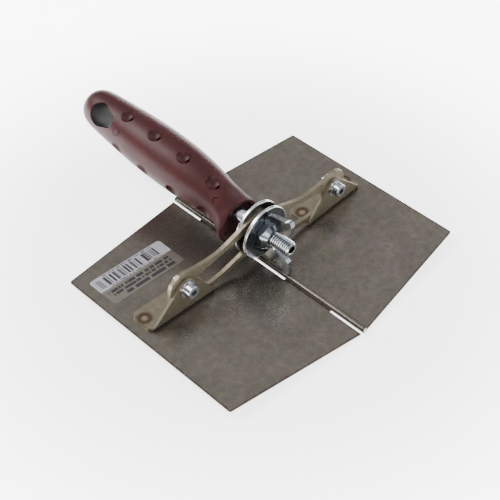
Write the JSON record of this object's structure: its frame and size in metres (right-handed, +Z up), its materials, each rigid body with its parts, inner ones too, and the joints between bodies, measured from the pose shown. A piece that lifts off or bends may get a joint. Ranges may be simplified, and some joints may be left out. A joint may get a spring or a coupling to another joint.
{
  "type": "inside corner trowel",
  "caption": "Folding inside corner trowel: hinged trapezoid steel blades, slotted arms clamped by a wing nut on a threaded stud, and a moulded plastic handle.",
  "frame": {"origin": "centre of the clamping stud's free tip", "axes": "+Y from the wing nut end towards the butt of the handle, +Z up away from the working faces, +X to the right seen from the butt; the hinge line is parallel to Y"},
  "size_m": [0.1598, 0.1939, 0.0414],
  "materials": {
    "blade_left": "mottled cold-rolled stainless sheet, satin",
    "blade_right": "mottled cold-rolled stainless sheet, satin",
    "hinge_pin": "bright drawn wire",
    "bracket_left": "dull olive-grey zinc plate",
    "bracket_right": "dull olive-grey zinc plate",
    "arm_left": "dull olive-grey zinc plate",
    "arm_right": "dull olive-grey zinc plate",
    "arm_screw_left": "bright zinc plate",
    "arm_screw_right": "bright zinc plate",
    "screw_washer_left": "bright zinc plate",
    "screw_washer_right": "bright zinc plate",
    "arm_nut_left": "bright zinc plate",
    "arm_nut_right": "bright zinc plate",
    "stud": "bright zinc plate",
    "jam_nut": "bright zinc plate",
    "front_washer": "bright zinc plate",
    "rear_washer": "bright zinc plate",
    "wing_nut": "bright zinc plate",
    "handle_grip": "semi-matt moulded plastic, maroon",
    "handle_sleeve": "plain machined steel",
    "label_sticker": "printed adhesive film"
  },
  "bodies": {
    "handle": {"handle_grip": "handle_grip", "handle_sleeve": "handle_sleeve", "stud": "stud", "jam_nut": "jam_nut"},
    "rear_clamp": {"rear_washer": "rear_washer"},
    "left_arm": {"arm_left": "arm_left"},
    "left_blade": {"blade_left": "blade_left", "bracket_left": "bracket_left", "arm_screw_left": "arm_screw_left", "screw_washer_left": "screw_washer_left", "arm_nut_left": "arm_nut_left", "label_sticker": "label_sticker"},
    "right_blade": {"blade_right": "blade_right", "hinge_pin": "hinge_pin", "bracket_right": "bracket_right", "arm_screw_right": "arm_screw_right", "screw_washer_right": "screw_washer_right", "arm_nut_right": "arm_nut_right"},
    "right_arm": {"arm_right": "arm_right"},
    "front_clamp": {"front_washer": "front_washer"},
    "wing_nut": {"wing_nut": "wing_nut"}
  },
  "joints": [
    {"name": "blade_fold", "type": "hinge", "parent": "left_blade", "child": "right_blade", "pos_m": [0, 0.017, -0.0194], "axis": [0, -1, 0], "range_deg": [0, 84.17]},
    {"name": "clamp_turn", "type": "hinge", "parent": "handle", "child": "rear_clamp", "pos_m": [0, 0.024, 0], "axis": [0, -1, 0], "range_deg": [0, 18.01]},
    {"name": "left_slot_slide", "type": "slide", "parent": "rear_clamp", "child": "left_arm", "axis": [0.9857, 0, 0.1685], "range_m": [0, 0.02501]},
    {"name": "left_arm_pivot", "type": "hinge", "parent": "left_arm", "child": "left_blade", "pos_m": [-0.05096, 0.022, -0.00229], "axis": [0, 1, 0], "range_deg": [0, 60.09]},
    {"name": "right_arm_pivot", "type": "hinge", "parent": "right_blade", "child": "right_arm", "pos_m": [0.05096, 0.02, -0.00229], "axis": [0, 1, 0], "range_deg": [0, 56.66]},
    {"name": "front_washer_slide", "type": "slide", "parent": "handle", "child": "front_clamp", "axis": [0, -1, 0], "range_m": [0, 0.00251]},
    {"name": "wing_nut_spin", "type": "hinge", "parent": "front_clamp", "child": "wing_nut", "pos_m": [0, 0.017, 0], "axis": [0, -1, 0], "range_deg": [0, 720]}
  ],
  "couplings": [
    {"joint": "clamp_turn", "follows": "blade_fold", "ratio": 0.21385},
    {"joint": "left_slot_slide", "follows": "blade_fold", "m_per_rad": 0.017018},
    {"joint": "left_arm_pivot", "follows": "blade_fold", "ratio": 0.71385},
    {"joint": "right_arm_pivot", "follows": "blade_fold", "ratio": 0.67301},
    {"joint": "front_washer_slide", "follows": "wing_nut_spin", "m_per_rad": 0.00019894}
  ]
}
